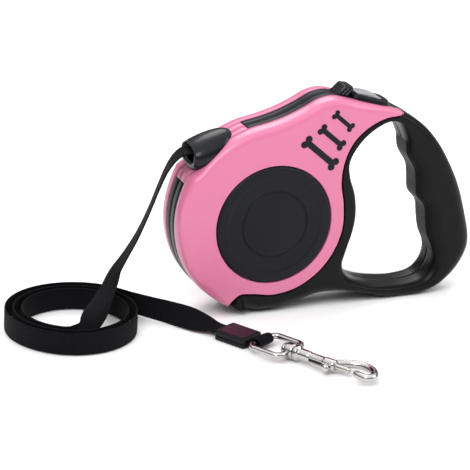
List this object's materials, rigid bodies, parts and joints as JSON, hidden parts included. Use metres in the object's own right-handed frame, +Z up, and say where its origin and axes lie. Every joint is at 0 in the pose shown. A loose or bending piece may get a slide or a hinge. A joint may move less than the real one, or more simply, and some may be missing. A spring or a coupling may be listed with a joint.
{
  "type": "retractable dog leash",
  "caption": "Retractable tape leash: flat round casing with a fingered handle, thumb brake, slide lock, cone tape outlet, and a coiled tape ending in a swivel bolt snap.",
  "frame": {"origin": "bottom centre of the casing, on the ground it stands on", "axes": "+X from the tape outlet towards the handle, +Y towards the casing half that takes the screws, +Z up"},
  "size_m": [0.2599, 0.1458, 0.1199],
  "materials": {
    "black_plastic": "satin moulded plastic",
    "pink_plastic": "glossy moulded plastic",
    "grey_plastic": "satin moulded plastic",
    "white_plastic": "natural acetal",
    "soft_grip": "soft-touch rubber",
    "webbing": "woven nylon tape",
    "steel": "plain steel",
    "nickel": "nickel plating",
    "label_card": "blank dark maroon plate"
  },
  "bodies": {
    "casing": {"housing_left": "black_plastic", "housing_right": "black_plastic", "cover_left": "pink_plastic", "cover_right": "pink_plastic", "hub_cap_left": "black_plastic", "hub_cap_right": "black_plastic", "bone_large_left": "black_plastic", "bone_large_right": "black_plastic", "bone_middle_left": "black_plastic", "bone_middle_right": "black_plastic", "bone_small_left": "black_plastic", "bone_small_right": "black_plastic", "nozzle": "black_plastic", "button_bezel": "black_plastic", "grip_insert": "soft_grip", "axle": "steel", "mainspring": "steel", "lever_pin": "steel", "brake_spring": "steel", "casing_screw_1": "steel", "casing_screw_2": "steel", "casing_screw_3": "steel", "casing_screw_4": "steel", "casing_screw_5": "steel", "tape_feed": "webbing", "tape_run": "webbing", "tape_coil": "webbing", "tape_tail": "webbing", "clip_cover_base": "black_plastic", "clip_cover_top": "black_plastic", "label_plate": "label_card", "tape_loop": "webbing"},
    "reel_drum": {"reel": "white_plastic", "tape_wound": "webbing", "spring_cover": "white_plastic"},
    "button": {"brake_button": "grey_plastic"},
    "lever": {"brake_lever": "white_plastic"},
    "lock": {"lock_slider": "black_plastic"},
    "eye": {"swivel_eye": "nickel"},
    "hook": {"hook_body": "nickel", "bolt_spring": "steel"},
    "bolt": {"snap_bolt": "nickel", "bolt_knob": "nickel"}
  },
  "joints": [
    {"name": "reel_spin", "type": "hinge", "parent": "casing", "child": "reel_drum", "pos_m": [-0.033, 0, 0.0501], "axis": [0, 1, 0], "continuous": true},
    {"name": "brake_press", "type": "slide", "parent": "casing", "child": "button", "axis": [-0.2672, 0, -0.9636], "range_m": [0, 0.0025], "stiffness_N_per_m": 200, "springref_m": -0.003},
    {"name": "brake_lever_turn", "type": "hinge", "parent": "casing", "child": "lever", "pos_m": [-0.009, 0.004, 0.1045], "axis": [0, 1, 0], "range_deg": [0, 5.2], "deforming": ["brake_spring"]},
    {"name": "lock_slide", "type": "slide", "parent": "casing", "child": "lock", "axis": [-0.9636, 0, 0.2672], "range_m": [0, 0.003]},
    {"name": "eye_pivot", "type": "hinge", "parent": "casing", "child": "eye", "pos_m": [-0.0544, -0.05662, 0.0043], "axis": [-0.866, -0.5, 0], "range_deg": [0, 75]},
    {"name": "hook_swivel", "type": "hinge", "parent": "eye", "child": "hook", "pos_m": [-0.0435, -0.0755, 0.0043], "axis": [0.5, -0.866, 0], "continuous": true},
    {"name": "bolt_slide", "type": "slide", "parent": "hook", "child": "bolt", "axis": [-0.5, 0.866, 0], "range_m": [0, 0.007], "stiffness_N_per_m": 120, "springref_m": -0.006, "deforming": ["bolt_spring"]}
  ],
  "couplings": [
    {"joint": "brake_lever_turn", "follows": "brake_press", "rad_per_m": 35.7}
  ]
}
